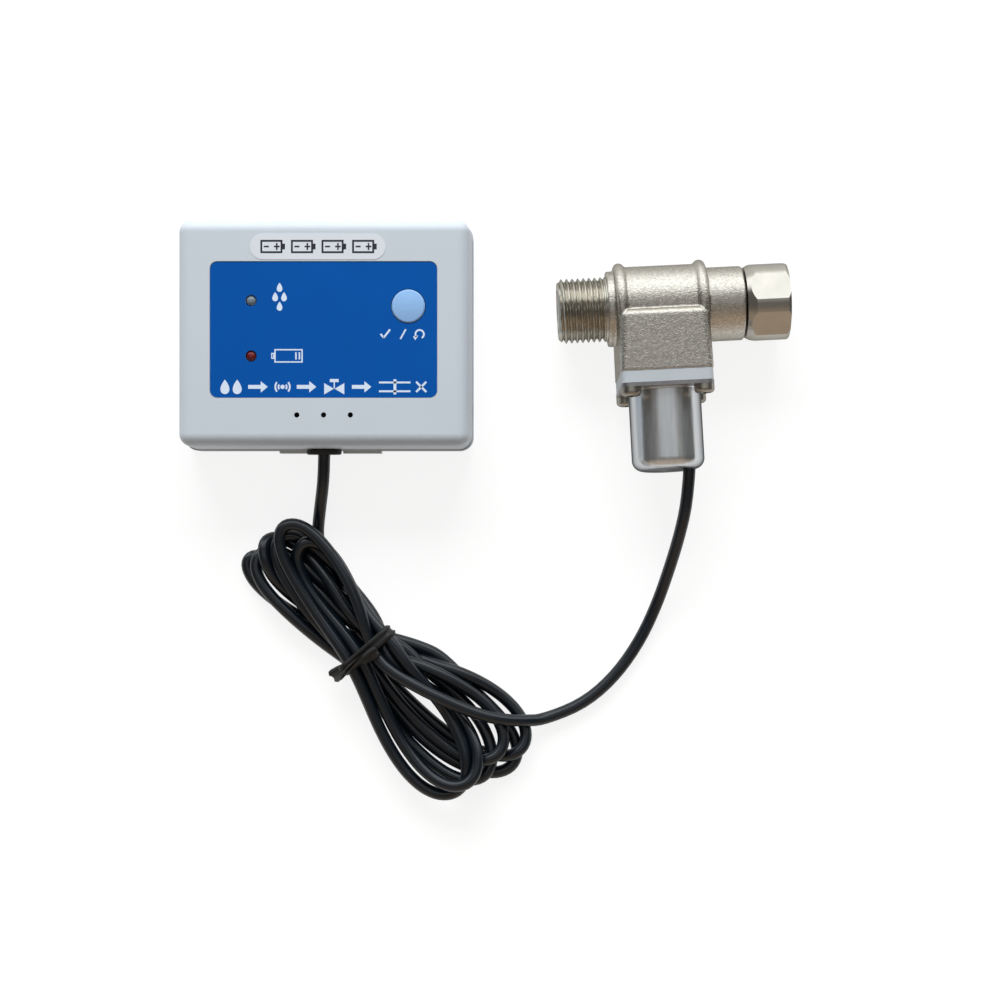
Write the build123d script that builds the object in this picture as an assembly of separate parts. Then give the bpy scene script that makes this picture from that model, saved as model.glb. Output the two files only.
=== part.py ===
from build123d import *
from math import radians, tan
import os

# A battery leak shut-off set lying on a table: a control box on its back, a round cord
# tied into a hank, and a latching solenoid valve with G 1/2 pipe threads.
# Millimetres, +Z up. The origin is on the table, below the centre of the rigid pieces.

# Control box. Its own frame has its origin at the middle of its back, +Z out of its front.
BOX_AT = Pos(-52.0, 3.4, 0)
BOX_W, BOX_H, BOX_D = 94.5, 74.0, 29.0
WALL = 2.0
CORNER_R = 4.5
SEAM_Z = 10.0
SEAM_STEP = 0.35  # the cover stands back this far from the rear shell at the seam
COVER_W, COVER_H = BOX_W - 2 * SEAM_STEP, BOX_H - 2 * SEAM_STEP
COVER_DRAFT = 2.2  # degrees
FRONT_FILLET = 3.8
BACK_FILLET = 1.2
LIP_TOP = SEAM_Z + 1.2
BOSS_X, BOSS_Y, BOSS_R = 40.8, 30.6, 3.4
POST_R, POST_TOP = 4.0, 9.0
SCREW_SEAT = 6.0

# Panel on the front of the box
PANEL_Y = 0.9
PANEL_W, PANEL_H, PANEL_R = 72.3, 43.4, 2.4
PANEL_FLOOR = BOX_D - 0.5
FILM = 0.3
BUTTON_AT = (26.9, 8.3)
BUTTON_R, BUTTON_HOLE_R = 5.3, 5.55
BUTTON_EDGE, BUTTON_TOP = BOX_D + 0.15, BOX_D + 0.6
LED_X, LED_STATUS_Y, LED_BATTERY_Y = -23.0, 10.1, -7.5
LED_R, LED_HOLE_R = 1.6, 1.8
SOUNDER_Y, SOUNDER_PITCH, SOUNDER_HOLE_R = -26.2, 8.5, 0.85
LABEL_AT = (-1.8, 27.2)
LABEL_W, LABEL_H, LABEL_T = 43.0, 8.2, 0.12

# Battery tray in the rear shell, for four AA cells side by side
CELL_R, CELL_BODY, CELL_NUB = 7.1, 49.2, 1.3
CELL_PITCH, CELL_Z = 14.7, 9.4
TRAY_X, TRAY_Y, TRAY_WALL = 30.8, 27.0, 1.2
TRAY_TOP = 18.4
CONTACT_T = 0.4
DOOR_X, DOOR_END_Y, DOOR_T = 32.4, -28.8, 1.8
DOOR_GAP = 0.15
TONGUE, TONGUE_Z0, TONGUE_Z1 = 1.2, 0.7, 1.3

# Board and what stands on it
BOARD_W, BOARD_Y0, BOARD_Y1 = 72.0, -33.0, 31.0
BOARD_Z, BOARD_T = 18.8, 1.6
BOARD_TOP = BOARD_Z + BOARD_T
PLUNGER_TOP = 24.35

# Cord outlet and water-sensing plates at the bottom edge of the box
GROMMET_AT = Pos(-1.5, -BOX_H / 2, 11.0) * Rot(90, 0, 0)  # its +Z points out of the wall
GROMMET_W, GROMMET_H = 11.4, 6.4
GROMMET_SLOT_W, GROMMET_SLOT_H = 9.0, 5.6
PLATE_X, PLATE_W, PLATE_T, PLATE_FOOT, PLATE_RISE = 10.5, 12.6, 0.8, 6.0, 5.5

# Valve. Its own frame has +X along the pipe towards the nut, and +Y away from the solenoid.
VALVE_TURN, VALVE_TILT = 2.75, -4.5  # degrees; the tilt lifts the solenoid's end
VALVE_AT = Pos(55.85, 12.9, 15.25) * Rot(0, 0, VALVE_TURN) * Rot(VALVE_TILT, 0, 0)
PIPE_AT = VALVE_AT * Rot(0, 90, 0)  # +Z along the pipe
STACK_AT = VALVE_AT * Rot(90, 0, 0)  # +Z down the solenoid's axis, away from the pipe

# G 1/2 thread
THREAD_R, THREAD_ROOT_R, PITCH = 10.4775, 9.3155, 1.814
THREAD_LAND = 0.15  # half width of the flat at a groove's root
FLANK = (THREAD_R - THREAD_ROOT_R) * tan(radians(27.5))

# Valve body, along the pipe
INLET_END, COLLAR_START, BARREL_HALF = -33.2, -17.3, 13.0
COLLAR_R, BARREL_R, NECK_R, NECK_END = 12.2, 13.4, 12.0, 26.7
BEAD_RING_R, BEAD_R = 12.85, 1.85
INLET_BORE_R, INLET_BORE_END = 7.0, -7.5
OUTLET_BORE_R, OUTLET_BORE_END = 5.0, -3.5
SPIGOT_R, SPIGOT_END = 7.1, 31.9
GROOVE_R, GROOVE_START, GROOVE_END = 6.3, 29.9, 30.9

# Valve body, down the solenoid's axis
BLOCK_X, BLOCK_Y, BLOCK_TOP, BLOCK_END = 14.8, 15.5, 2.7, 22.55  # half widths, then ends
BLOCK_TOP_CORNER_R, BLOCK_CORNER_R, BLOCK_EDGE_R = 4.6, 2.0, 2.4
PORT_R, SEAT_R, SEAT_S = 4.2, 5.6, 18.9
CHAMBER_R, CHAMBER_TOP = 11.2, 9.5
RIM_R, RIM_S = 13.3, 21.3
FEED_X, FEED_R = -8.4, 2.6

# Solenoid stack, as distances down its axis from the pipe's axis
COVER_X, COVER_Y, COVER_END = 14.6, 15.2, 26.35
CONTROL_R, CONTROL_END, PILOT_R = 10.4, 24.0, 0.8
FLANGE_SEAT_R, FLANGE_SEAT_S = 13.4, 25.55
FLANGE_X, FLANGE_Y, PLATE_START, PLATE_END = 14.8, 15.4, 26.4, 27.6
PLATE_HOLE_R = 12.4
CAN_R, CAN_WALL, CAN_END, CAN_FLANGE_R = 11.7, 0.8, 53.3, 13.2
CAN_EDGE_R = 3.5
SCREW_X, SCREW_Y, SCREW_R, SCREW_HEAD_R, SCREW_HEAD_H = 11.6, 12.25, 1.93, 3.2, 2.8
SCREW_HOLE_R = 2.15
TUBE_R, TUBE_BORE_R, TUBE_END = 4.4, 4.0, 48.7
PLUNGER_R, PLUNGER_START, PLUNGER_END = 3.8, 25.6, 41.0
POLE_START = 42.6
MAGNET_R, MAGNET_END = 7.0, 51.0
CORD_X = 6.9  # the cord leaves the can this far from its axis

# Nut
NUT_START, NUT_END, NUT_FLATS, NUT_CORNER_R = 27.3, 41.0, 24.0, 12.8
NUT_TURN = 15.5  # degrees
NUT_LIP_R, NUT_LIP_END = 7.3, 29.4
NUT_RELIEF_R, NUT_THREAD_START = 10.6, 33.6
WASHER_END = 33.4

# Cord. The two leads are routed by hand; the hank between them is one closed solid.
CORD_R = 2.0
BOX_LEAD = [
    (-53.5, -30.2, 11.0),
    (-53.5, -41.4, 11.0),
    (-55.2, -51.6, 6.4),
    (-56.6, -60.8, 2.8),
    (-56.6, -69.6, 2.2),
]
VALVE_LEAD = [
    (65.2, -38.1, 19.4),
    (64.6, -49.4, 19.4),
    (62.4, -61.4, 14.6),
    (59.4, -73.2, 8.4),
    (55.6, -85.4, 3.4),
    (50.0, -97.4, 2.1),
    (42.0, -108.6, 2.1),
    (31.6, -117.6, 2.1),
    (20.0, -122.6, 2.2),
    (8.6, -123.6, 4.4),
]
HANK_OUTLINE = [
    (-34.0, -91.0),
    (-45.5, -79.0),
    (-53.5, -66.0),
    (-67.0, -55.5),
    (-82.0, -67.0),
    (-77.0, -83.0),
    (-62.0, -93.5),
    (-47.5, -105.5),
    (-37.0, -121.0),
    (-25.0, -138.0),
    (-9.0, -149.2),
    (9.0, -140.0),
    (15.5, -128.0),
    (6.0, -110.5),
    (-13.0, -98.5),
]
HANK_H, HANK_EDGE_R = 12.0, 3.5
TIE_AT = Pos(-39.5, -99.0, 0) * Rot(0, 0, -42)  # +X along the bundle
TIE_LENGTH, TIE_HALF, TIE_H, TIE_T = 5.0, 11.8, 13.2, 1.3
TIE_TAIL = (9.0, 2.4, 2.2)


def post(radius, z0, z1):
    return Pos(0, 0, z0) * Cylinder(radius, z1 - z0, align=(Align.CENTER, Align.CENTER, Align.MIN))


def block(x0, x1, y0, y1, z0, z1):
    return Pos((x0 + x1) / 2, (y0 + y1) / 2, (z0 + z1) / 2) * Box(x1 - x0, y1 - y0, z1 - z0)


def rounded(width, height, radius, z0, z1, draft=0.0):
    outline = Pos(0, 0, z0) * RectangleRounded(width, height, radius)
    return extrude(outline, amount=z1 - z0, taper=draft)


def turned(*points):
    """Solid of revolution about Z through (radius, height) corners."""
    return revolve(make_face(Plane.XZ * Polyline(*points, close=True)), Axis.Z)


def grooves(crest_r, root_r, start, count):
    """Corners of a thread's grooves, as rings, along a wall that starts at a height."""
    corners = []
    for turn in range(count):
        middle = start + PITCH * (turn + 0.5)
        corners += [
            (crest_r, middle - THREAD_LAND - FLANK),
            (root_r, middle - THREAD_LAND),
            (root_r, middle + THREAD_LAND),
            (crest_r, middle + THREAD_LAND + FLANK),
        ]
    return corners


def at_corners(x, y):
    return [(sx * x, sy * y) for sx in (-1, 1) for sy in (-1, 1)]


# Control box pieces


def front_cover():
    shell = rounded(COVER_W, COVER_H, CORNER_R, SEAM_Z, BOX_D, COVER_DRAFT)
    shell = fillet(shell.edges().group_by(Axis.Z)[-1], FRONT_FILLET)
    hollow = rounded(
        COVER_W - 2 * WALL, COVER_H - 2 * WALL, CORNER_R - WALL, SEAM_Z, BOX_D - WALL, COVER_DRAFT
    )
    shell -= fillet(hollow.edges().group_by(Axis.Z)[-1], FRONT_FILLET - WALL)
    for x, y in at_corners(BOSS_X, BOSS_Y):
        shell += Pos(x, y) * post(BOSS_R, POST_TOP + 0.2, BOX_D - WALL / 2)
        shell -= Pos(x, y) * post(1.25, POST_TOP, 20)
    shell -= Pos(0, PANEL_Y, 0) * rounded(PANEL_W, PANEL_H, PANEL_R, PANEL_FLOOR, BOX_D + 1)
    shell -= Pos(*BUTTON_AT) * post(BUTTON_HOLE_R, SEAM_Z, BOX_D)
    for y in (LED_STATUS_Y, LED_BATTERY_Y):
        shell -= Pos(LED_X, y) * post(LED_HOLE_R, SEAM_Z, BOX_D)
    for step in (-1, 0, 1):
        shell -= Pos(step * SOUNDER_PITCH, SOUNDER_Y) * post(SOUNDER_HOLE_R, SEAM_Z, BOX_D + 1)
    return shell - grommet_slot()


def grommet_slot():
    return GROMMET_AT * extrude(SlotOverall(GROMMET_SLOT_W, GROMMET_SLOT_H), 4, both=True)


def rear_shell():
    shell = rounded(BOX_W, BOX_H, CORNER_R, 0, SEAM_Z)
    shell = fillet(shell.edges().group_by(Axis.Z)[0], BACK_FILLET)
    inner_w, inner_h = BOX_W - 2 * WALL, BOX_H - 2 * WALL
    shell -= rounded(inner_w, inner_h, CORNER_R - WALL, WALL, SEAM_Z)
    shell += lip()
    tray_x, tray_y = TRAY_X + TRAY_WALL, TRAY_Y + TRAY_WALL
    shell += block(-tray_x, tray_x, -tray_y, tray_y, 1, TRAY_TOP)
    shell += block(-DOOR_X - 2.4, DOOR_X + 2.4, TRAY_Y, BOX_H / 2 - 1, 1, WALL + 1.2)
    shell -= block(-TRAY_X, TRAY_X, -TRAY_Y, TRAY_Y, -1, TRAY_TOP - TRAY_WALL)
    shell -= door_space(DOOR_GAP)
    for x, y in at_corners(BOSS_X, BOSS_Y):
        shell += Pos(x, y) * post(POST_R, 0.5, POST_TOP)
        shell -= Pos(x, y) * (post(3.0, -1, SCREW_SEAT) + post(1.6, 0, POST_TOP))
    for side in (-1, 1):
        shell -= sensor_plate(side)
    return shell - grommet_slot()


def lip():
    """Raised edge of the rear shell that the front cover fits over."""
    outer_w, outer_h = COVER_W - 2 * WALL - 0.2, COVER_H - 2 * WALL - 0.2
    edge = rounded(outer_w, outer_h, CORNER_R - WALL, SEAM_Z - 2, LIP_TOP)
    edge += rounded(BOX_W - 2 * WALL + 0.5, BOX_H - 2 * WALL + 0.5, CORNER_R - WALL, SEAM_Z - 2, SEAM_Z)
    edge -= rounded(outer_w - 2, outer_h - 2, CORNER_R - WALL - 1, SEAM_Z - 3, LIP_TOP + 1)
    for x, y in at_corners(BOSS_X, BOSS_Y):
        edge -= Pos(x, y) * post(BOSS_R + 0.2, POST_TOP, LIP_TOP)
    return edge


def door_space(gap):
    """The door's plate and its two side tongues, grown by a gap."""
    end = BOX_H / 2 + (5 if gap else 0)
    plate = block(-DOOR_X - gap, DOOR_X + gap, DOOR_END_Y - gap, end, -gap, DOOR_T + gap)
    reach = DOOR_X + TONGUE + gap
    return plate + block(-reach, reach, DOOR_END_Y - gap, end, TONGUE_Z0 - gap, TONGUE_Z1 + gap)


def battery_door():
    door = door_space(0)
    for row in range(5):
        y = 20 + 2.2 * row
        door -= block(-9, 9, y, y + 1, -1, 0.5)
    return door


def panel_overlay():
    film = Pos(0, PANEL_Y) * rounded(
        PANEL_W - 0.3, PANEL_H - 0.3, PANEL_R, PANEL_FLOOR, PANEL_FLOOR + FILM
    )
    film -= Pos(*BUTTON_AT) * post(BUTTON_HOLE_R, PANEL_FLOOR, BOX_D)
    for y in (LED_STATUS_Y, LED_BATTERY_Y):
        film -= Pos(LED_X, y) * post(LED_HOLE_R, PANEL_FLOOR, BOX_D)
    return film


def blank_label():
    return Pos(*LABEL_AT, BOX_D) * extrude(SlotOverall(LABEL_W, LABEL_H), LABEL_T)


def check_button():
    crown = TangentArc((0, BUTTON_TOP), (BUTTON_R - 0.4, BUTTON_EDGE), tangent=(1, 0))
    sides = Polyline(
        (BUTTON_R - 0.4, BUTTON_EDGE), (BUTTON_R, BUTTON_EDGE - 0.4), (BUTTON_R, 26.5),
        (BUTTON_R + 1, 26.5), (BUTTON_R + 1, 25.8), (1.5, 25.8), (1.5, PLUNGER_TOP + 0.05),
        (0, PLUNGER_TOP + 0.05), (0, BUTTON_TOP),
    )
    button = revolve(Plane.XZ * make_face(crown + sides), Axis.Z)
    return Pos(*BUTTON_AT) * button


def switch_plunger():
    return Pos(*BUTTON_AT) * post(1.2, 22.0, PLUNGER_TOP)


def tact_switch():
    x, y = BUTTON_AT
    return block(x - 3, x + 3, y - 3, y + 3, BOARD_TOP, 23.3) - Pos(x, y) * post(1.3, 21.2, 24)


def indicator(y):
    lamp = post(LED_R, BOARD_TOP, BOX_D + 0.1)
    lamp = fillet(lamp.edges().group_by(Axis.Z)[-1], LED_R - 0.2)
    return Pos(LED_X, y) * (lamp + post(LED_R + 0.3, BOARD_TOP, BOARD_TOP + 1))


def circuit_board():
    return block(-BOARD_W / 2, BOARD_W / 2, BOARD_Y0, BOARD_Y1, BOARD_Z, BOARD_TOP)


def buzzer():
    return Pos(0, SOUNDER_Y) * (post(6.0, BOARD_TOP, 25.6) - post(1.0, 24.5, 26))


def capacitor():
    can = post(4.0, BOARD_TOP, 26.2)
    return Pos(-26, -22) * fillet(can.edges().group_by(Axis.Z)[-1], 0.6)


def controller_chip():
    return block(-6, 4, -2, 4, BOARD_TOP + 0.1, 22.0)


def lead_connector():
    return block(16, 24, -31, -25, BOARD_TOP, 25.4) - block(17, 23, -32, -27, 21.6, 24.4)


def cell(index):
    """One AA cell; neighbours lie in opposite directions."""
    body = fillet(post(CELL_R, 0, CELL_BODY).edges(), 0.5) + post(2.75, 0, CELL_BODY + CELL_NUB)
    heading = 1 if index % 2 else -1
    length = CELL_BODY + CELL_NUB
    return Pos((index - 1.5) * CELL_PITCH, -heading * length / 2, CELL_Z) * Rot(-90 * heading, 0, 0) * body


def contact_plates(side):
    """Four contacts on one end wall of the tray, each with a pressed bump."""
    plates = Part()
    for index in range(4):
        x = (index - 1.5) * CELL_PITCH
        inner = side * (TRAY_Y - CONTACT_T)
        y0, y1 = sorted((inner, side * (TRAY_Y - 0.02)))
        plate = block(x - 4.5, x + 4.5, y0, y1, 4.5, 14.5)
        plates += plate + Pos(x, inner, CELL_Z) * Rot(90 * side, 0, 0) * Cone(2.4, 1.2, 0.7)
    return plates


def cord_grommet():
    flange = extrude(SlotOverall(GROMMET_W, GROMMET_H), 1.4)
    flange = fillet(flange.edges().group_by(Axis.Z)[-1], 0.6)
    neck = Pos(0, 0, -3) * extrude(SlotOverall(GROMMET_SLOT_W - 0.1, GROMMET_SLOT_H - 0.1), 3)
    return GROMMET_AT * (flange + neck - post(CORD_R + 0.02, -4, 2))


def sensor_plate(side):
    """Bent strip: a foot along the back of the box, and a tab up its bottom edge."""
    x0, x1 = side * PLATE_X - PLATE_W / 2, side * PLATE_X + PLATE_W / 2
    edge = -BOX_H / 2
    foot = block(x0, x1, edge - PLATE_T, edge + PLATE_FOOT, 0, PLATE_T)
    return foot + block(x0, x1, edge - PLATE_T, edge, 0, PLATE_RISE)


def housing_screw(x, y):
    head = post(2.6, SCREW_SEAT - 2.0, SCREW_SEAT)
    head = fillet(head.edges().group_by(Axis.Z)[0], 0.7)
    return Pos(x, y) * (head + post(1.2, SCREW_SEAT, 18.0) - cross_recess(SCREW_SEAT - 2.0, 1.1, 1))


def cross_recess(face, depth, way):
    """Cross slot cut from a face at a height, going up (way 1) or down (way -1)."""
    z0, z1 = sorted((face - way, face + way * depth))
    return block(-1.9, 1.9, -0.45, 0.45, z0, z1) + block(-0.45, 0.45, -1.9, 1.9, z0, z1)


# Valve body and outlet pieces, in the pipe's frame or the stack's


def valve_body():
    body = PIPE_AT * casting_along_pipe() + STACK_AT * casting_block()
    body -= PIPE_AT * (
        post(INLET_BORE_R, INLET_END - 1, INLET_BORE_END)
        + post(OUTLET_BORE_R, OUTLET_BORE_END, SPIGOT_END + 1)
    )
    return body - STACK_AT * stack_cavity()


def casting_along_pipe():
    barrel = post(BARREL_R, -BARREL_HALF, BARREL_HALF)
    for side in (-1, 1):
        barrel += Pos(0, 0, side * BARREL_HALF) * Torus(BEAD_RING_R, BEAD_R)
    neck = post(NECK_R, 0, NECK_END)
    barrel += fillet(neck.edges().group_by(Axis.Z)[-1], 0.7)
    barrel += post(COLLAR_R, COLLAR_START, 0)
    thread = turned(
        (0, INLET_END),
        (THREAD_R - 0.8, INLET_END),
        (THREAD_R, INLET_END + 0.8),
        *grooves(THREAD_R, THREAD_ROOT_R, INLET_END + 1, 8),
        (THREAD_R, COLLAR_START),
        (0, COLLAR_START),
    )
    spigot = turned(
        (0, NECK_END),
        (SPIGOT_R, NECK_END),
        (SPIGOT_R, GROOVE_START),
        (GROOVE_R, GROOVE_START),
        (GROOVE_R, GROOVE_END),
        (SPIGOT_R, GROOVE_END),
        (SPIGOT_R, SPIGOT_END),
        (0, SPIGOT_END),
    )
    return barrel + thread + spigot


def casting_block():
    """Its corners are broad where they run into the beads, and tight at the cover."""
    top = Pos(0, 0, BLOCK_TOP) * RectangleRounded(2 * BLOCK_X, 2 * BLOCK_Y, BLOCK_TOP_CORNER_R)
    end = Pos(0, 0, BLOCK_END) * RectangleRounded(2 * BLOCK_X, 2 * BLOCK_Y, BLOCK_CORNER_R)
    body = loft([top, end])
    return fillet(body.edges().group_by(Axis.Z)[0], BLOCK_EDGE_R)


def stack_cavity():
    """Ports, seat, diaphragm recess and screw holes, down the solenoid's axis."""
    cavity = post(CHAMBER_R, CHAMBER_TOP, BLOCK_END + 1) - post(SEAT_R, 0, SEAT_S)
    cavity += post(PORT_R, 0, SEAT_S + 0.5)
    cavity += post(RIM_R, RIM_S, BLOCK_END + 1)
    cavity += Pos(FEED_X, 0) * post(FEED_R, 0, CHAMBER_TOP + 0.5)
    for x, y in at_corners(SCREW_X, SCREW_Y):
        cavity += Pos(x, y) * post(SCREW_R + 0.02, 13.0, BLOCK_END + 1)
    return cavity


def inlet_strainer():
    cup = turned(
        (4.6, -32.8), (6.95, -32.8), (6.95, -31.4), (6.0, -31.4), (6.0, -22.0),
        (0, -22.0), (0, -22.8), (5.2, -22.8), (5.2, -31.4), (4.6, -31.4),
    )
    for turn in range(8):
        cup -= Rot(0, 0, 45 * turn) * block(4, 7, -1, 1, -30.4, -23.8)
    return cup


def outlet_nut():
    flats = extrude(
        Pos(0, 0, NUT_START) * RegularPolygon(NUT_FLATS / 2, 6, major_radius=False, rotation=NUT_TURN),
        NUT_END - NUT_START,
    )
    turned_blank = turned(
        (0, NUT_START), (11.4, NUT_START), (NUT_CORNER_R, NUT_START + 2.7),
        (NUT_CORNER_R, NUT_END - 0.9), (12.2, NUT_END), (0, NUT_END),
    )
    bore = turned(
        (0, NUT_START - 1), (NUT_LIP_R, NUT_START - 1), (NUT_LIP_R, NUT_LIP_END),
        (NUT_RELIEF_R, NUT_LIP_END), (NUT_RELIEF_R, NUT_THREAD_START),
        (THREAD_ROOT_R, NUT_THREAD_START),
        *grooves(THREAD_ROOT_R, THREAD_R, NUT_THREAD_START + 0.3, 3),
        (THREAD_ROOT_R, NUT_END - 0.8), (THREAD_R, NUT_END + 0.4), (0, NUT_END + 0.4),
    )
    return (flats & turned_blank) - bore


def nut_ring():
    ring = post(8.4, GROOVE_START + 0.05, GROOVE_END - 0.05) - post(GROOVE_R + 0.05, 29, 32)
    return ring - block(4, 9, -1.2, 1.2, 29, 32)


def nut_washer():
    return post(9.0, SPIGOT_END + 0.02, WASHER_END) - post(5.2, 31, 34)


# Diaphragm and solenoid pieces, in the stack's frame


def diaphragm():
    return turned(
        (0, SEAT_S + 0.08), (6.8, SEAT_S + 0.08), (11.0, 20.9), (11.1, RIM_S + 0.03),
        (RIM_R - 0.1, RIM_S + 0.03), (RIM_R - 0.1, BLOCK_END - 0.05), (11.2, BLOCK_END - 0.05),
        (10.4, 21.6), (6.8, 20.0), (0, 20.0),
    )


def diaphragm_insert():
    insert = turned((0, 20.02), (6.4, 20.02), (6.4, 20.9), (3.6, 20.9), (3.6, 21.6), (0, 21.6))
    return insert - Pos(5, 0) * post(0.5, 19, 22)


def screw_holes(z0, z1):
    holes = Part()
    for x, y in at_corners(SCREW_X, SCREW_Y):
        holes += Pos(x, y) * post(SCREW_HOLE_R, z0, z1)
    return holes


def pilot_cover():
    cover = rounded(2 * COVER_X, 2 * COVER_Y, 2.0, BLOCK_END, COVER_END)
    cover -= post(CONTROL_R, BLOCK_END - 1, CONTROL_END) + post(PILOT_R, CONTROL_END, COVER_END)
    cover -= post(FLANGE_SEAT_R, FLANGE_SEAT_S, COVER_END + 1) + post(5.0, 25.2, COVER_END)
    cover -= post(6.9, 24.9, COVER_END) - post(5.9, 24.8, COVER_END + 1)
    return cover - screw_holes(BLOCK_END - 1, COVER_END + 1)


def tube_oring():
    return Pos(0, 0, 25.22) * Torus(6.4, 0.3)


def guide_tube():
    return post(TUBE_R, 25.6, TUBE_END) + post(7.2, 25.6, 26.2) - post(TUBE_BORE_R, 25, TUBE_END + 1)


def plunger():
    body = post(PLUNGER_R, PLUNGER_START, PLUNGER_END) - post(2.5, 25, 27.5)
    return body - post(2.1, 34, PLUNGER_END + 1)


def plunger_seal():
    return post(2.45, 25.25, 27.45)


def plunger_spring():
    coil = Helix(pitch=1.2, height=8.0, radius=1.6)
    wire = sweep(Plane(origin=coil @ 0, z_dir=coil % 0) * Circle(0.22), path=coil)
    return Pos(0, 0, 34.27) * wire


def pole_core():
    return post(TUBE_BORE_R - 0.03, POLE_START, TUBE_END)


def flux_washer():
    return post(10.75, 26.25, 27.1) - post(TUBE_R + 0.05, 26, 28)


def flux_sleeve():
    return post(10.8, 27.15, 48.75) - post(10.0, 27, 48) - post(TUBE_R + 0.05, 47, 49)


def coil_bobbin():
    return turned(
        (4.5, 27.2), (9.9, 27.2), (9.9, 28.2), (5.3, 28.2), (5.3, 46.9),
        (9.9, 46.9), (9.9, 47.9), (4.5, 47.9),
    )


def coil_winding():
    return post(9.3, 28.25, 46.85) - post(5.35, 28, 47)


def magnet():
    return post(MAGNET_R, 48.8, MAGNET_END)


def potting():
    fill = post(CAN_R - CAN_WALL - 0.05, 48.8, CAN_END - CAN_WALL)
    fill = fillet(fill.edges().group_by(Axis.Z)[-1], CAN_EDGE_R - CAN_WALL)
    fill -= post(MAGNET_R + 0.02, 48, MAGNET_END + 0.02)
    return fill - Pos(CORD_X, 0) * post(CORD_R + 0.05, MAGNET_END + 0.3, CAN_END)


def solenoid_can():
    can = fillet(post(CAN_R, 25.6, CAN_END).edges().group_by(Axis.Z)[-1], CAN_EDGE_R)
    flange = turned(
        (0, 25.6), (CAN_FLANGE_R, 25.6), (CAN_FLANGE_R, 26.3),
        (CAN_R + 0.6, 26.3), (CAN_R, 27.9), (0, 27.9),
    )
    hollow = post(CAN_R - CAN_WALL, 25, CAN_END - CAN_WALL)
    hollow = fillet(hollow.edges().group_by(Axis.Z)[-1], CAN_EDGE_R - CAN_WALL)
    return can + flange - hollow - Pos(CORD_X, 0) * post(CORD_R + 0.05, 50, CAN_END + 1)


def flange_plate():
    plate = rounded(2 * FLANGE_X, 2 * FLANGE_Y, 2.8, PLATE_START, PLATE_END)
    plate -= post(PLATE_HOLE_R, PLATE_START - 1, PLATE_END + 1)
    return plate - screw_holes(PLATE_START - 1, PLATE_END + 1)


def flange_screw(x, y):
    face = PLATE_END + 0.02 + SCREW_HEAD_H
    head = post(SCREW_HEAD_R, PLATE_END + 0.02, face)
    head = fillet(head.edges().group_by(Axis.Z)[-1], 1.3)
    screw = head + post(SCREW_R, 15.0, PLATE_END + 1) - cross_recess(face, 1.5, -1)
    return Pos(x, y) * screw


# Cord pieces, in the set's own frame


def lead(name, points):
    """Round tube along straight runs joined by arcs as large as the runs allow."""
    corners = [Vector(*p) for p in points]
    runs = [b - a for a, b in zip(corners, corners[1:])]
    radii = []
    for before, after in zip(runs, runs[1:]):
        half_turn = radians(before.get_angle(after)) / 2
        radii.append(0.45 * min(before.length, after.length) / tan(half_turn))
    path = FilletPolyline(*corners, radius=radii)
    tube = sweep(Plane(origin=path @ 0, z_dir=path % 0) * Circle(CORD_R), path=path)
    section = Circle(CORD_R).area
    print(name, "radii", [round(r) for r in radii], "length", round(path.length, 1),
          "volume / (section x length)", round(tube.volume / (section * path.length), 4))
    return tube


def cord_hank():
    outline = make_face(Spline(*HANK_OUTLINE, periodic=True))
    hank = extrude(outline, HANK_H)
    return fillet(hank.edges().group_by(Axis.Z)[-1], HANK_EDGE_R)


def twist_tie():
    """Band over the bundle's waist, with its twisted ends on one side."""
    half = TIE_LENGTH / 2
    band = block(-half, half, -TIE_HALF, TIE_HALF, 0, TIE_H)
    band -= block(-half - 1, half + 1, -TIE_HALF + TIE_T, TIE_HALF - TIE_T, -1, TIE_H - TIE_T)
    length, width, height = TIE_TAIL
    return band + block(-width, width, -TIE_HALF - length + 1, -TIE_HALF + 1, 0, height)


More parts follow.
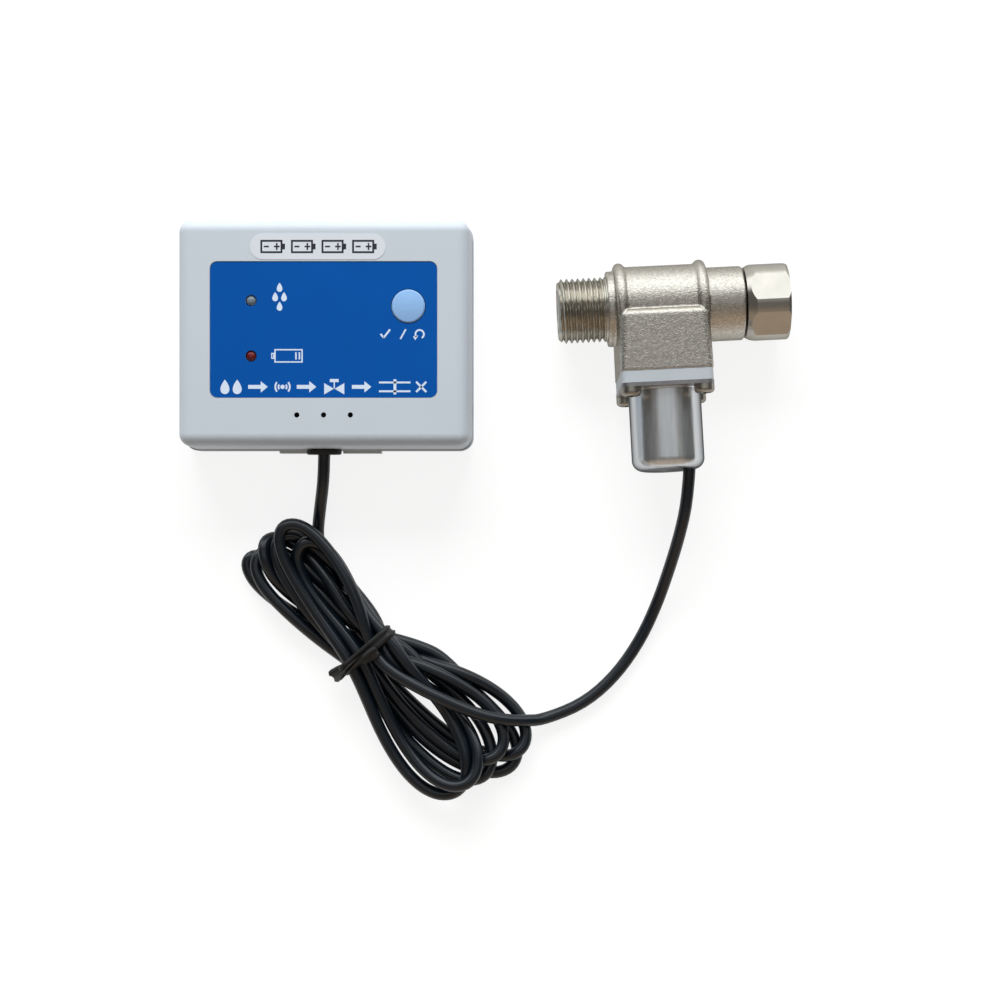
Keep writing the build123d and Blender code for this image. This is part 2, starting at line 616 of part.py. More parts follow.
def pieces():
    """Every sub-part's name with its solid, in place."""
    box = {
        "front_cover": front_cover(),
        "rear_shell": rear_shell(),
        "battery_door": battery_door(),
        "panel_overlay": panel_overlay(),
        "blank_label": blank_label(),
        "check_button": check_button(),
        "switch_plunger": switch_plunger(),
        "tact_switch": tact_switch(),
        "led_status": indicator(LED_STATUS_Y),
        "led_battery": indicator(LED_BATTERY_Y),
        "circuit_board": circuit_board(),
        "buzzer": buzzer(),
        "capacitor": capacitor(),
        "controller_chip": controller_chip(),
        "lead_connector": lead_connector(),
        "contact_plates_upper": contact_plates(1),
        "contact_plates_lower": contact_plates(-1),
        "cord_grommet": cord_grommet(),
        "sensor_plate_left": sensor_plate(-1),
        "sensor_plate_right": sensor_plate(1),
    }
    for index in range(4):
        box[f"battery_{index + 1}"] = cell(index)
    for index, (x, y) in enumerate(at_corners(BOSS_X, BOSS_Y)):
        box[f"housing_screw_{index + 1}"] = housing_screw(x, y)
    pipe = {
        "inlet_strainer": inlet_strainer(),
        "outlet_nut": outlet_nut(),
        "nut_ring": nut_ring(),
        "nut_washer": nut_washer(),
    }
    stack = {
        "diaphragm": diaphragm(),
        "diaphragm_insert": diaphragm_insert(),
        "pilot_cover": pilot_cover(),
        "tube_oring": tube_oring(),
        "guide_tube": guide_tube(),
        "plunger": plunger(),
        "plunger_seal": plunger_seal(),
        "plunger_spring": plunger_spring(),
        "pole_core": pole_core(),
        "flux_washer": flux_washer(),
        "flux_sleeve": flux_sleeve(),
        "coil_bobbin": coil_bobbin(),
        "coil_winding": coil_winding(),
        "magnet": magnet(),
        "potting": potting(),
        "solenoid_can": solenoid_can(),
        "flange_plate": flange_plate(),
    }
    for index, (x, y) in enumerate(at_corners(SCREW_X, SCREW_Y)):
        stack[f"flange_screw_{index + 1}"] = flange_screw(x, y)
    placed = {
        "valve_body": valve_body(),
        "cord_lead_box": lead("cord_lead_box", BOX_LEAD),
        "cord_hank": cord_hank(),
        "cord_lead_valve": lead("cord_lead_valve", VALVE_LEAD),
        "twist_tie": TIE_AT * twist_tie(),
    }
    for place, group in ((BOX_AT, box), (PIPE_AT, pipe), (STACK_AT, stack)):
        placed.update({name: place * solid for name, solid in group.items()})
    return placed


os.makedirs("parts", exist_ok=True)
for name, solid in pieces().items():
    export_step(solid, f"parts/{name}.step")
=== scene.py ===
import math

import bmesh
import bpy
import numpy as np
from mathutils import Matrix, Vector, noise


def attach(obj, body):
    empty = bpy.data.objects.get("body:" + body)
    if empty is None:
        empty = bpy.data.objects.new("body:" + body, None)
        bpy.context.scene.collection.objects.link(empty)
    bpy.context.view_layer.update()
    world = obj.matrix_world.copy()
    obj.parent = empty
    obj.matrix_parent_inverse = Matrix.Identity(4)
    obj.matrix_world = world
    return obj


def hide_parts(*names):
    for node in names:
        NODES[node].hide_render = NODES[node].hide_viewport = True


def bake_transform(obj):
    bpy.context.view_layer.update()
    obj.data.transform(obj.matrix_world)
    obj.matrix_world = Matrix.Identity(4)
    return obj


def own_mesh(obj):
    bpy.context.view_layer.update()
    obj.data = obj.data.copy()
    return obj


# A leak shut-off set seen from straight above: control box, tied cord and solenoid valve.
# Lengths are in metres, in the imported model's frame. MM turns millimetres into metres.
MM = 0.001

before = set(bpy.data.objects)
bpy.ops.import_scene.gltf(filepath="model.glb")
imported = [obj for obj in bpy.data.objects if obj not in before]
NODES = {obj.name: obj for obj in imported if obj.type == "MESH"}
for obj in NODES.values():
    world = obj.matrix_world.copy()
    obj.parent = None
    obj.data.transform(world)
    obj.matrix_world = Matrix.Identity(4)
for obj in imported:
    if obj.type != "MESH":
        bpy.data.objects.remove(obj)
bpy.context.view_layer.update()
ROOT = "set"

# Camera and stage
VIEW_CENTRE = (4.0 * MM, -49.8 * MM)
CAMERA_HEIGHT = 600 * MM
LENS_MM, SENSOR_MM = 64.8, 36

# Lamps: place and size in metres, power in watts
KEY_AT, KEY_SIZE, KEY_POWER = (-0.1, 1.2, 0.85), (1.0, 0.6), 21.5
FILL_AT, FILL_SIZE, FILL_POWER = (0.0, 0.2, 1.3), (1.0, 1.0), 1.5

# The floor glows, and less in the metal's reflections than to the eye
FLOOR_HALF = 20  # metres
FLOOR_GREY = (0.2, 0.2, 0.2, 1)
FLOOR_GLOW, FLOOR_GLOW_MIRRORED = 0.84, 0.46

# How brightly the surroundings glow, by where they are
FAR_GLOW = (0.085, 0.082, 0.078)
ROOM_GLOW = (0.065, 0.06, 0.055)
OVERHEAD_GLOW = (0.343, 0.357, 0.374)
WINDOW_GLOW = (1.38, 1.44, 1.49)
BACK_GLOW = (0.24, 0.17, 0.11)

# Where each glow begins and is full, along one part of a direction's unit vector
OVERHEAD_Z, OVERHEAD_FAR_Y, OVERHEAD_NEAR_Y = (0.72, 0.90), (0.42, 0.20), (-0.12, 0.12)
WINDOW_Y, WINDOW_Z = (0.40, 0.68), (0.88, 0.74)
BACK_Y = (-0.25, -0.75)
OVERHEAD_X, ROOM_X = (0.30, 0.65), (0.55, 0.85)  # the same to both sides: full, then none

# Valve placing, as the model has it: pipe axis turned about Z, then tilted about itself
VALVE_AT = Vector((55.85, 12.9, 15.25)) * MM
VALVE_TURN, VALVE_TILT = math.radians(2.75), math.radians(-4.5)
VALVE = (
    Matrix.Translation(VALVE_AT)
    @ Matrix.Rotation(VALVE_TURN, 4, "Z")
    @ Matrix.Rotation(VALVE_TILT, 4, "X")
)

# Cord, repeated from the model's route
CORD_D = 4 * MM
BOX_LEAD = [
    (-53.5, -30.2, 11.0),
    (-53.5, -41.4, 11.0),
    (-55.2, -51.6, 6.4),
    (-56.6, -60.8, 2.8),
    (-56.6, -69.6, 2.2),
]
VALVE_LEAD = [
    (65.2, -38.1, 19.4),
    (64.6, -49.4, 19.4),
    (62.4, -61.4, 14.6),
    (59.4, -73.2, 8.4),
    (55.6, -85.4, 3.4),
    (50.0, -97.4, 2.1),
    (42.0, -108.6, 2.1),
    (31.6, -117.6, 2.1),
    (20.0, -122.6, 2.2),
    (8.6, -123.6, 4.4),
]

# Hank, in its own plan frame: u along the bundle, v across it, both in millimetres from the tie.
# Each turn has a far lobe and then a near one: how far it reaches, and its lean in degrees.
HANK_CENTRE = (-39.5, -99.0)
HANK_ANGLE = math.radians(-42)
FAR_LOBES = [(62.5, 10), (62.5, 2.5), (56.5, 4), (58.0, -5), (56, -10), (56.6, -16)]
NEAR_LOBES = [(52, -4.5), (49.5, -2), (51, 5), (49, 9), (43, 17), (51, 14.5)]
FAR_WIDTH, NEAR_WIDTH = 12.5, 7.4
LOBE_POINTS = 14
WAIST_COLUMNS = (2.1, 6.2)
LAYER, RISE = 4.0, 0.7
HANK_ENTRY = (-16, 7.5, 2.2)
CROSSING = [(0, 2.0, 13.0), (13, 2.1, 13.0), (26.5, 4.4, 12.0), (39.5, 8.0, 9.5)]
CONTROL_STEP = 3  # one settled point in three shapes the cord

# How the hank settles: lengths in millimetres per round, and shares of what is left to mend
SPACING, ROUNDS, STRETCH_PASSES = 2.0, 170, 3
SINK, HOMING, STRETCHING, PARTING = 0.02, 0.03, 0.45, 0.9
SMOOTHING = (0.45, -0.47)
TIE_HALF, TIE_V, TIE_TOP, TIE_FLOOR = 3.0, 8.0, 11.0, 2.9


def in_hank(u, v, z):
    """Plan point of the hank's frame, in millimetres of the model's frame."""
    c, s = math.cos(HANK_ANGLE), math.sin(HANK_ANGLE)
    return (HANK_CENTRE[0] + u * c - v * s, HANK_CENTRE[1] + u * s + v * c, z)


def lobe(reach, lean, width, waist):
    """A teardrop from the tie out and back, leaning by so many degrees."""
    c, s = math.cos(math.radians(lean)), math.sin(math.radians(lean))
    points = []
    for step in range(1, LOBE_POINTS):
        half = math.pi * step / LOBE_POINTS
        u = reach * math.sin(half) ** 2
        v = width * math.sin(2 * half) * math.sin(half)
        points.append((u * c - v * s, u * s + v * c + waist * math.cos(half) ** 3))
    return points


def hank_turns():
    """All the turns, each laid on the last: past the tie, far lobe, past the tie, near lobe."""
    points = []
    for turn, (far, near) in enumerate(zip(FAR_LOBES, NEAR_LOBES)):
        waist = WAIST_COLUMNS[turn % 2]
        low = CORD_D / MM / 2 + LAYER * (turn // 2)
        high = low + RISE
        after = CORD_D / MM / 2 + LAYER * ((turn + 1) // 2)
        points.append(in_hank(0, waist, low))
        for step, (u, v) in enumerate(lobe(*far, FAR_WIDTH, waist), 1):
            points.append(in_hank(u, v, low + RISE * step / LOBE_POINTS))
        points.append(in_hank(0, -waist, high))
        for step, (u, v) in enumerate(lobe(near[0], -near[1], NEAR_WIDTH, waist), 1):
            points.append(in_hank(-u, -v, high + (after - high) * step / LOBE_POINTS))
    return points


def resampled(points, spacing):
    points = np.array(points, float)
    along = np.r_[0, np.cumsum(np.linalg.norm(np.diff(points, axis=0), axis=1))]
    marks = np.linspace(0, along[-1], int(along[-1] / spacing) + 1)
    return np.stack([np.interp(marks, along, points[:, axis]) for axis in range(3)], axis=1)


def smoothed(path, reach):
    """Takes out short waves without shrinking the path: one pass inwards, one a little further out."""
    for share in SMOOTHING:
        middle = (path[: -2 * reach] + path[2 * reach :]) / 2
        path[reach:-reach] += share * (middle - path[reach:-reach])


def settle(path):
    """Lets a chain of points sink until it rests on itself and on the floor, in the tie's grip."""
    gap = CORD_D / MM
    index = np.arange(len(path))
    far_apart = np.abs(index[:, None] - index[None, :]) > int(2.2 * gap / SPACING) + 1
    rest = np.linalg.norm(np.diff(path, axis=0), axis=1)
    home = path.copy()
    ends = [0, 1, -2, -1]
    c, s = math.cos(HANK_ANGLE), math.sin(HANK_ANGLE)
    for _ in range(ROUNDS):
        path[:, 2] -= SINK
        path[:, :2] += HOMING * (home[:, :2] - path[:, :2])
        smoothed(path, 1)
        smoothed(path, 3)
        for _ in range(STRETCH_PASSES):
            steps = np.diff(path, axis=0)
            length = np.linalg.norm(steps, axis=1)
            pull = steps * (STRETCHING * (length - rest) / length)[:, None]
            path[:-1] += pull
            path[1:] -= pull
        between = path[:, None, :] - path[None, :, :]
        distance = np.sqrt((between**2).sum(2)) + 1e-9
        close = (distance < gap) & far_apart
        push = np.where(close, (gap - distance) / distance * 0.5, 0)
        moved = (between * push[:, :, None]).sum(1)
        path += PARTING * moved / np.sqrt(np.maximum(close.sum(1), 1))[:, None]
        dx, dy = path[:, 0] - HANK_CENTRE[0], path[:, 1] - HANK_CENTRE[1]
        u, v = dx * c + dy * s, -dx * s + dy * c
        held = np.abs(u) < TIE_HALF
        shift = np.clip(v, -TIE_V, TIE_V) - v
        path[held, 0] += (-s * shift)[held]
        path[held, 1] += (c * shift)[held]
        path[held, 2] = np.clip(path[held, 2], TIE_FLOOR, TIE_TOP)
        path[:, 2] = np.maximum(path[:, 2], gap / 2)
        path[ends] = home[ends]
    return path


def cord_route():
    """Control points of the whole cord in millimetres, from the box's grommet to the valve's can."""
    entry = [BOX_LEAD[-2], BOX_LEAD[-1], in_hank(*HANK_ENTRY)]
    crossing = [in_hank(*place) for place in CROSSING] + [VALVE_LEAD[-1], VALVE_LEAD[-2]]
    coil = settle(resampled(entry + hank_turns() + crossing, SPACING))
    return BOX_LEAD[:-2] + [tuple(point) for point in coil[::CONTROL_STEP]] + VALVE_LEAD[-3::-1]


def make_cord():
    """The cord as one tube, and its control points."""
    route = cord_route()
    curve = bpy.data.curves.new("cord", "CURVE")
    curve.dimensions = "3D"
    spline = curve.splines.new("NURBS")
    spline.points.add(len(route) - 1)
    for point, place in zip(spline.points, route):
        point.co = (*(Vector(place) * MM), 1)
        point.radius = CORD_D / 2
    spline.order_u = 3
    spline.use_endpoint_u = True
    spline.resolution_u = 4
    curve.bevel_depth = 1.0  # times each point's own radius
    curve.bevel_resolution = 6
    curve.use_fill_caps = True
    cord = bpy.data.objects.new("cord", curve)
    bpy.context.scene.collection.objects.link(cord)
    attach(cord, ROOT)
    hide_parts("cord_lead_box", "cord_hank", "cord_lead_valve")
    curve.materials.append(FINISHES["cord_jacket"])
    return cord, route


PATCH_EDGES = (0.3, 0.7)  # the part of the noise over which the tint turns
GLOSSIEST, DULLEST = 0.82, 1.18  # times the finish's own roughness


def finish(
    name, colour, roughness, metal=0.0, spread=0.04, patch=8.0, grain=0.6, bump=0.03,
    stretch=(1, 1, 1), **sockets,
):
    """A procedural finish: its colour and roughness vary in patches, and its surface has a fine grain.

    patch and grain are sizes in millimetres, and stretch draws both out along an axis."""
    paint = bpy.data.materials.new(name)
    paint.use_nodes = True
    nodes, links = paint.node_tree.nodes, paint.node_tree.links
    shader = nodes["Principled BSDF"]
    shader.inputs["Metallic"].default_value = metal
    for socket, value in sockets.items():
        shader.inputs[socket.replace("_", " ")].default_value = value
    place = nodes.new("ShaderNodeTexCoord")
    drawn = nodes.new("ShaderNodeMapping")
    drawn.inputs["Scale"].default_value = [1 / part for part in stretch]
    links.new(place.outputs["Object"], drawn.inputs["Vector"])
    patches = nodes.new("ShaderNodeTexNoise")
    patches.inputs["Scale"].default_value = 1 / (patch * MM)
    patches.inputs["Detail"].default_value = 3
    grains = nodes.new("ShaderNodeTexNoise")
    grains.inputs["Scale"].default_value = 1 / (grain * MM)
    grains.inputs["Detail"].default_value = 2
    for texture in (patches, grains):
        links.new(drawn.outputs["Vector"], texture.inputs["Vector"])
    tint = nodes.new("ShaderNodeValToRGB")
    dark, light = tint.color_ramp.elements
    dark.position, light.position = PATCH_EDGES
    dark.color = (*[c * (1 - spread) for c in colour], 1)
    light.color = (*[min(1, c * (1 + spread)) for c in colour], 1)
    links.new(patches.outputs["Fac"], tint.inputs["Fac"])
    links.new(tint.outputs["Color"], shader.inputs["Base Color"])
    shine = nodes.new("ShaderNodeMapRange")
    shine.inputs["To Min"].default_value = roughness * GLOSSIEST
    shine.inputs["To Max"].default_value = roughness * DULLEST
    links.new(grains.outputs["Fac"], shine.inputs["Value"])
    links.new(shine.outputs["Result"], shader.inputs["Roughness"])
    relief = nodes.new("ShaderNodeBump")
    relief.inputs["Distance"].default_value = bump * MM
    links.new(grains.outputs["Fac"], relief.inputs["Height"])
    links.new(relief.outputs["Normal"], shader.inputs["Normal"])
    return paint


# Worn plating and drawn steel mirror less than clean metal at their outline
EDGE_TINT, DARK_EDGE_TINT = (0.5, 0.5, 0.48, 1), (0.05, 0.05, 0.05, 1)
FINISHES = {
    "cover_plastic": finish(
        "cover_plastic", (0.52, 0.577, 0.634), 0.42, spread=0.01, patch=30, grain=0.35, bump=0.012
    ),
    "shell_plastic": finish(
        "shell_plastic", (0.47, 0.51, 0.55), 0.45, spread=0.01, patch=30, grain=0.35, bump=0.012
    ),
    "panel_film": finish(
        "panel_film", (0.0, 0.078, 0.35), 0.4, spread=0.03, patch=20, grain=0.25, bump=0.006,
        Specular_IOR_Level=0.12,
    ),
    "panel_print": finish(
        "panel_print", (0.62, 0.72, 0.86), 0.45, spread=0.02, patch=6, grain=0.2, bump=0.004
    ),
    "label_film": finish(
        "label_film", (0.63, 0.67, 0.72), 0.3, spread=0.01, patch=20, grain=0.3, bump=0.005
    ),
    "label_print": finish(
        "label_print", (0.02, 0.02, 0.035), 0.4, spread=0.1, patch=5, grain=0.2, bump=0.004
    ),
    "button_plastic": finish(
        "button_plastic", (0.25, 0.445, 0.75), 0.36, spread=0.02, patch=6, grain=0.3, bump=0.008
    ),
    "lamp_clear": finish(
        "lamp_clear", (0.32, 0.42, 0.52), 0.12, spread=0.1, patch=2, grain=0.8, bump=0.01,
        Transmission_Weight=0.55,
    ),
    "lamp_red": finish(
        "lamp_red", (0.16, 0.012, 0.016), 0.12, spread=0.15, patch=2, grain=0.8, bump=0.01,
        Transmission_Weight=0.3,
    ),
    "black_plastic": finish(
        "black_plastic", (0.014, 0.014, 0.015), 0.4, spread=0.2, patch=5, grain=0.4, bump=0.01
    ),
    "switch_body": finish(
        "switch_body", (0.02, 0.02, 0.022), 0.5, spread=0.2, patch=3, grain=0.3, bump=0.01
    ),
    "board": finish("board", (0.012, 0.12, 0.04), 0.4, spread=0.25, patch=2.5, grain=0.5, bump=0.01),
    "component_sleeve": finish(
        "component_sleeve", (0.02, 0.03, 0.09), 0.35, spread=0.15, patch=3, grain=0.4
    ),
    "connector_plastic": finish(
        "connector_plastic", (0.75, 0.73, 0.66), 0.5, spread=0.05, patch=3, grain=0.4
    ),
    "contact_metal": finish(
        "contact_metal", (0.62, 0.6, 0.56), 0.3, metal=1, spread=0.06, stretch=(1, 8, 1)
    ),
    "grommet_rubber": finish(
        "grommet_rubber", (0.012, 0.012, 0.012), 0.5, spread=0.2, patch=3, grain=0.3, bump=0.02
    ),
    "stainless_plate": finish(
        "stainless_plate", (0.6, 0.58, 0.55), 0.3, metal=1, spread=0.05, grain=0.25, bump=0.01,
        stretch=(10, 1, 1),
    ),
    "cell_jacket": finish(
        "cell_jacket", (0.05, 0.06, 0.09), 0.32, spread=0.2, patch=9, grain=0.5, bump=0.01
    ),
    "screw_steel": finish(
        "screw_steel", (0.5, 0.49, 0.47), 0.32, metal=1, spread=0.08, patch=1.5, grain=0.2
    ),
    "cord_jacket": finish(
        "cord_jacket", (0.003, 0.006, 0.010), 0.25, spread=0.25, patch=9, grain=1.1, bump=0.012,
        Specular_IOR_Level=0.75,
    ),
    "tie_plastic": finish(
        "tie_plastic", (0.010, 0.010, 0.010), 0.42, spread=0.3, patch=3, grain=0.7, bump=0.05
    ),
    "nickel_casting": finish(
        "nickel_casting", (0.71, 0.675, 0.60), 0.25, metal=1, spread=0.14, patch=0.9, grain=0.4,
        bump=0.14, Specular_Tint=EDGE_TINT,
    ),
    "nickel_turned": finish(
        "nickel_turned", (0.66, 0.63, 0.56), 0.2, metal=1, spread=0.05, patch=6, grain=0.5,
        bump=0.012, Specular_Tint=EDGE_TINT,
    ),
    "strainer_plastic": finish(
        "strainer_plastic", (0.7, 0.7, 0.66), 0.5, spread=0.04, patch=3, grain=0.4
    ),
    "spring_steel": finish(
        "spring_steel", (0.55, 0.54, 0.52), 0.25, metal=1, spread=0.08, patch=1.5, grain=0.2
    ),
    "seal_rubber": finish(
        "seal_rubber", (0.02, 0.02, 0.02), 0.6, spread=0.2, patch=3, grain=0.3, bump=0.02
    ),
    "insert_plastic": finish(
        "insert_plastic", (0.55, 0.55, 0.52), 0.5, spread=0.04, patch=3, grain=0.4
    ),
    "cover_white": finish(
        "cover_white", (0.42, 0.46, 0.49), 0.42, spread=0.02, patch=9, grain=0.4, bump=0.015
    ),
    "guide_steel": finish(
        "guide_steel", (0.55, 0.54, 0.52), 0.25, metal=1, spread=0.05, stretch=(1, 8, 1)
    ),
    "bobbin_plastic": finish(
        "bobbin_plastic", (0.06, 0.06, 0.065), 0.5, spread=0.1, patch=3, grain=0.4
    ),
    "winding_copper": finish(
        "winding_copper", (0.72, 0.32, 0.15), 0.3, metal=1, spread=0.1, patch=1, grain=0.3, bump=0.06
    ),
    "magnet_ferrite": finish(
        "magnet_ferrite", (0.05, 0.05, 0.052), 0.6, spread=0.15, patch=2, grain=0.3, bump=0.03
    ),
    "epoxy": finish("epoxy", (0.02, 0.02, 0.022), 0.35, spread=0.15, patch=4, grain=0.8, bump=0.03),
    "can_metal": finish(
        "can_metal", (0.91, 0.94, 0.98), 0.24, metal=1, spread=0.06, patch=1.2, grain=0.3, bump=0.02,
        stretch=(1, 16, 1), Specular_Tint=DARK_EDGE_TINT, Anisotropic=0.8, Anisotropic_Rotation=0.25,
    ),
    "flange_steel": finish(
        "flange_steel", (0.42, 0.41, 0.42), 0.4, metal=1, spread=0.12, patch=3, grain=0.4, bump=0.03
    ),
    "flange_screw_metal": finish(
        "flange_screw_metal", (0.50, 0.47, 0.41), 0.26, metal=1, spread=0.12, patch=1.5, grain=0.3,
        bump=0.03, Specular_Tint=EDGE_TINT,
    ),
}


def draw_round(paint):
    """Turns a finish's stretched highlights round the piece's own Y axis, as on a turned can."""
    nodes = paint.node_tree.nodes
    around = nodes.new("ShaderNodeTangent")
    around.direction_type = "RADIAL"
    around.axis = "Y"
    paint.node_tree.links.new(around.outputs["Tangent"], nodes["Principled BSDF"].inputs["Tangent"])


def dress_nodes():
    """Gives every node of the model the finish of its material slot."""
    for node in NODES.values():
        for holder in node.material_slots:
            holder.material = FINISHES[holder.material.name.split(".")[0]]


def new_piece(name, mesh, body, slot, paint=None, smooth=True):
    """A piece on a body, or on none yet if it bends between two."""
    piece = bpy.data.objects.new(name, mesh)
    bpy.context.scene.collection.objects.link(piece)
    mesh.materials.clear()
    mesh.materials.append(FINISHES[paint or slot])
    for polygon in mesh.polygons:
        polygon.use_smooth = smooth
    if body:
        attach(piece, body)
    return piece


# Valve casting and its thread, in millimetres along the pipe from the valve's centre
THREAD_START, COLLAR_START = -33.2, -17.3
THREAD_R, THREAD_ROOT_R, THREAD_PITCH = 10.4775, 9.3155, 1.814
FLANK_SLOPE, CREST_FLAT = 1.25, 0.14
THREAD_OVERLAP, RUNOUT_GAP, RUNOUT = 0.4, 0.2, 1.2
CHAMFER_BELOW_ROOT = 0.25
INLET_BORE_R, INLET_BORE_DEPTH = 7.0, 12
AROUND, PER_PITCH = 128, 12
WELD, CUT_GAP = 0.002 * MM, 0.02 * MM
CAST_VOXEL, CAST_BLEND_PASSES = 0.30 * MM, 9
THREAD_SHARP, RUBBER_SHARP = math.radians(28), math.radians(35)
BLOCK_BLAST, PIPE_BLAST, BLAST_GRAIN = 0.055 * MM, 0.02 * MM, 0.4 * MM
LEDGE_AT, LEDGE_FADE = 3.0 * MM, 3.0 * MM


def blasted(mesh, size):
    """Roughens a mesh along its normals, as shot blasting does: coarsely on the block, finely above."""
    normals = [vertex.normal.copy() for vertex in mesh.vertices]
    to_valve = VALVE.inverted()
    for vertex, normal in zip(mesh.vertices, normals):
        down = -(to_valve @ vertex.co).y
        share = min(1, max(0, (down - LEDGE_AT) / LEDGE_FADE))
        depth = PIPE_BLAST + (BLOCK_BLAST - PIPE_BLAST) * share
        vertex.co += normal * depth * noise.noise(vertex.co / size)


def make_casting():
    """The cast body with its edges and corners blended, cut off square where the thread starts."""
    mesh = NODES["valve_body"].data.copy()
    work = bmesh.new()
    work.from_mesh(mesh)
    bmesh.ops.remove_doubles(work, verts=work.verts[:], dist=WELD)
    cut = VALVE @ Vector((COLLAR_START * MM + CUT_GAP, 0, 0))
    along = VALVE.to_3x3() @ Vector((1, 0, 0))
    everything = work.verts[:] + work.edges[:] + work.faces[:]
    bmesh.ops.bisect_plane(work, geom=everything, plane_co=cut, plane_no=along, clear_inner=True)
    rim = [edge for edge in work.edges if edge.is_boundary]
    bmesh.ops.triangle_fill(work, edges=rim, use_beauty=True, normal=-along)
    bmesh.ops.recalc_face_normals(work, faces=work.faces[:])
    work.to_mesh(mesh)
    work.free()
    casting = new_piece("valve_casting", mesh, ROOT, "nickel_casting")
    remesh = casting.modifiers.new("remesh", "REMESH")
    remesh.mode = "VOXEL"
    remesh.voxel_size = CAST_VOXEL
    blend = casting.modifiers.new("blend", "SMOOTH")
    blend.factor = 0.5
    blend.iterations = CAST_BLEND_PASSES
    bpy.context.view_layer.update()
    evaluated = casting.evaluated_get(bpy.context.evaluated_depsgraph_get())
    shaped = bpy.data.meshes.new_from_object(evaluated)
    casting.modifiers.clear()
    casting.data = shaped
    blasted(shaped, BLAST_GRAIN)
    for polygon in shaped.polygons:
        polygon.use_smooth = True
    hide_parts("valve_body")


def thread_depth(phase):
    """How far below the crest the thread's flank lies, at a phase from 0 to 1 along one pitch."""
    swing = abs(2 * phase - 1)
    return (THREAD_R - THREAD_ROOT_R) * min(1, max(0, FLANK_SLOPE * swing - CREST_FLAT))


def make_thread():
    """The inlet's helical thread with its chamfered end and its bore."""
    rows = int((COLLAR_START - THREAD_START) / THREAD_PITCH * PER_PITCH) + 1
    length = COLLAR_START + THREAD_OVERLAP - THREAD_START
    bore_end = THREAD_START + INLET_BORE_DEPTH
    rings = [[(bore_end, INLET_BORE_R)] * AROUND, [(THREAD_START, INLET_BORE_R)] * AROUND]
    for row in range(rows + 1):
        x = THREAD_START + length * row / rows
        ring = []
        chamfer = THREAD_ROOT_R - CHAMFER_BELOW_ROOT + (x - THREAD_START)
        runout = min(1, max(0, (COLLAR_START - RUNOUT_GAP - x) / RUNOUT))
        for step in range(AROUND):
            phase = (x / THREAD_PITCH - step / AROUND) % 1
            ring.append((x, min(chamfer, THREAD_R - thread_depth(phase) * runout)))
        rings.append(ring)
    work = bmesh.new()
    grid = []
    for ring in rings:
        grid.append([])
        for step, (x, radius) in enumerate(ring):
            turn = 2 * math.pi * step / AROUND
            place = Vector((x, radius * math.cos(turn), radius * math.sin(turn))) * MM
            grid[-1].append(work.verts.new(VALVE @ place))
    for before, after in zip(grid, grid[1:]):
        for step in range(AROUND):
            following = (step + 1) % AROUND
            work.faces.new((before[step], before[following], after[following], after[step]))
    bmesh.ops.recalc_face_normals(work, faces=work.faces[:])
    mesh = bpy.data.meshes.new("inlet_thread")
    work.to_mesh(mesh)
    work.free()
    new_piece("inlet_thread", mesh, ROOT, "nickel_turned")
    mesh.set_sharp_from_angle(angle=THREAD_SHARP)


def make_diaphragm():
    """The rubber disc, copied from the model with its sharp edges marked, on no body and with its place
    baked into its mesh; in the valve its centre lifts with the insert while its rim stays clamped.
    """
    mesh = NODES["diaphragm"].data.copy()
    rubber = new_piece("diaphragm_rubber", mesh, None, "seal_rubber")
    mesh.set_sharp_from_angle(angle=RUBBER_SHARP)
    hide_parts("diaphragm")
    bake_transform(rubber)


def make_spring():
    """The plunger's spring, copied from the model onto the set with a mesh of its own; in the valve it
    shortens towards the pole as the plunger lifts.
    """
    coil = new_piece("spring_coil", NODES["plunger_spring"].data.copy(), ROOT, "spring_steel")
    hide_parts("plunger_spring")
    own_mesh(coil)


# Prints: flat shapes a hair above the film, in millimetres
PANEL_TOP, LABEL_TOP, PRINT_LIFT = 28.8, 29.12, 0.03
LEAK_SIGN = (-65.95, 14.6)
SEQUENCE_AT = (-51.8, -13.9)
CELLS_AT, CELL_STEP, CELL_COUNT = (-68.3, 30.6), 9.7, 4


def drop(x, y, height):
    """A water drop, point up."""
    turns = [2 * math.pi * step / 28 for step in range(28)]
    width = 0.62 * height
    return [
        (x + 0.65 * width * math.sin(t) * math.sin(t / 2), y + height / 2 * math.cos(t)) for t in turns
    ]


def bar(x0, y0, x1, y1):
    return [(x0, y0), (x1, y0), (x1, y1), (x0, y1)]


def line(x0, y0, x1, y1, width):
    """A straight stroke as a four-cornered shape."""
    length = math.hypot(x1 - x0, y1 - y0)
    nx, ny = -(y1 - y0) / length * width / 2, (x1 - x0) / length * width / 2
    return [(x0 + nx, y0 + ny), (x0 - nx, y0 - ny), (x1 - nx, y1 - ny), (x1 + nx, y1 + ny)]


def arc(x, y, radius, start, end, width, steps=16):
    """A curved stroke, from one angle to another in degrees."""
    angles = [math.radians(start + (end - start) * step / steps) for step in range(steps + 1)]
    rims = []
    for reach in (radius + width / 2, radius - width / 2):
        rims.append([(x + reach * math.cos(angle), y + reach * math.sin(angle)) for angle in angles])
    return rims[0] + rims[1][::-1]


def frame_of(x0, y0, x1, y1, width):
    """An open rectangle, as four bars that meet without overlapping."""
    return [
        bar(x0, y0, x1, y0 + width),
        bar(x0, y1 - width, x1, y1),
        bar(x0, y0 + width, x0 + width, y1 - width),
        bar(x1 - width, y0 + width, x1, y1 - width),
    ]


def arrow(x, y, length, height):
    """An arrow pointing along +X."""
    neck, head = 0.17 * height, 0.5 * height
    tip, back = x + length / 2, x - length / 2
    start = tip - 0.62 * height
    shaft_low = [(back, y - neck), (start, y - neck)]
    shaft_high = [(start, y + neck), (back, y + neck)]
    return shaft_low + [(start, y - head), (tip, y), (start, y + head)] + shaft_high


